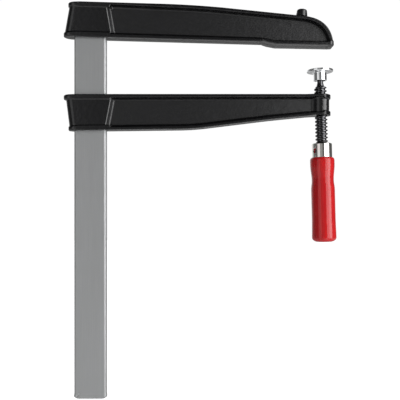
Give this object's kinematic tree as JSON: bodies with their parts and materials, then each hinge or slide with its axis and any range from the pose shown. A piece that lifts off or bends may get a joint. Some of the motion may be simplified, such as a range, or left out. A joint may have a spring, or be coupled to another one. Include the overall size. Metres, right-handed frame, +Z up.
{
  "type": "f clamp",
  "caption": "Deep-throat F clamp: flat rail, fixed jaw arm, sliding arm with screw spindle, swivelling pressure plate and turned wooden handle.",
  "frame": {"origin": "point where the spindle axis meets the fixed jaw's contact face", "axes": "+Z up along the rail, from the handle towards the fixed jaw; +X from the rail towards the jaws' tips; +Y across the clamp, away from the face seen in front"},
  "size_m": [0.3828, 0.037, 0.5537],
  "materials": {
    "rail_steel": "matt drawn steel",
    "black_casting": "semi-gloss black paint on a fine cast skin",
    "bright_plate": "bright plated",
    "spring_steel": "dark oiled steel",
    "blackened_steel": "blackened and oiled rolled thread",
    "bright_ferrule": "bright plated",
    "red_wood": "glossy red lacquer on turned wood"
  },
  "bodies": {
    "rail": {"rail": "rail_steel", "fixed_arm": "black_casting"},
    "sliding_arm": {"sliding_arm": "black_casting"},
    "retaining_ring": {"retaining_ring": "spring_steel"},
    "spindle": {"spindle": "blackened_steel", "ferrule": "bright_ferrule", "cross_pin": "spring_steel", "handle": "red_wood"},
    "pressure_plate": {"pressure_plate": "bright_plate"}
  },
  "joints": [
    {"name": "arm_slide", "type": "slide", "parent": "rail", "child": "sliding_arm", "axis": [0, 0, -1], "range_m": [0, 0.366]},
    {"name": "spindle_feed", "type": "slide", "parent": "sliding_arm", "child": "retaining_ring", "axis": [-0.0262, 0, 0.9997], "range_m": [-0.0185, 0.029]},
    {"name": "spindle_turn", "type": "hinge", "parent": "retaining_ring", "child": "spindle", "pos_m": [0.0011, 0, -0.04184], "axis": [-0.0262, 0, 0.9997], "range_deg": [-1334, 2090]},
    {"name": "plate_tilt", "type": "hinge", "parent": "retaining_ring", "child": "pressure_plate", "pos_m": [0.0011, 0, -0.04184], "axis": [0, 1, 0], "range_deg": [-6, 6]}
  ],
  "couplings": [
    {"joint": "spindle_turn", "follows": "spindle_feed", "rad_per_m": 1256.6}
  ]
}
